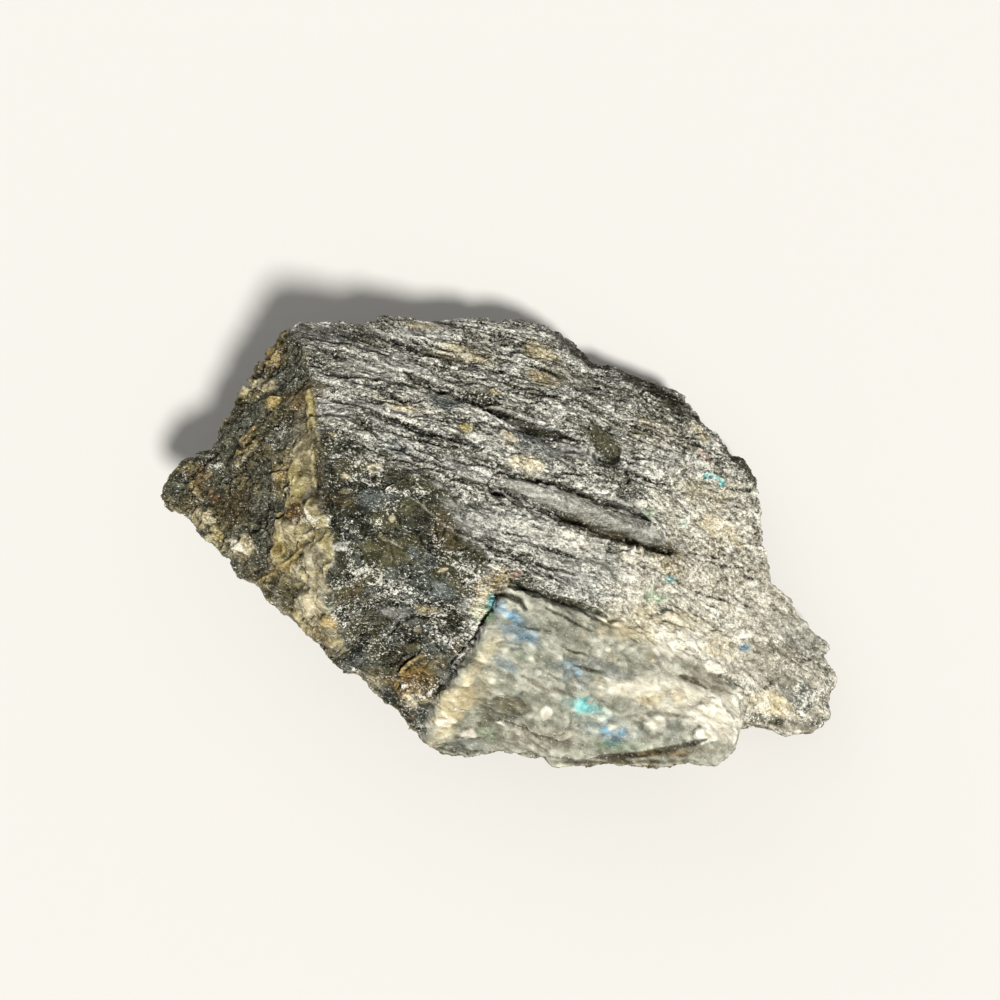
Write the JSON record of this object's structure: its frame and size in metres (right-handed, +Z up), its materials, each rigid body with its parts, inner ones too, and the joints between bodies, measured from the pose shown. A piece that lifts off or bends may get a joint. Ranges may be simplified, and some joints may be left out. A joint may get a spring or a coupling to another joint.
{
  "type": "rough labradorite chunk",
  "caption": "Wedge-shaped rough chunk of labradorite with a splintered top, a dark smooth face, a pale crusted plate and a flat face to rest on.",
  "frame": {"origin": "middle of the bounding box, on the flat base that the chunk rests on", "axes": "+X along the chunk's length, from the thick end to the thin end, +Y across it, +Z up"},
  "size_m": [0.0596, 0.0412, 0.0208],
  "materials": {
    "labradorite": "rough grey-brown feldspar, dark charcoal where freshly broken, silvery where splintered, with a cream and yellow weathered crust and small blue-green flashes"
  },
  "bodies": {
    "root": {"labradorite": "labradorite"}
  },
  "joints": []
}
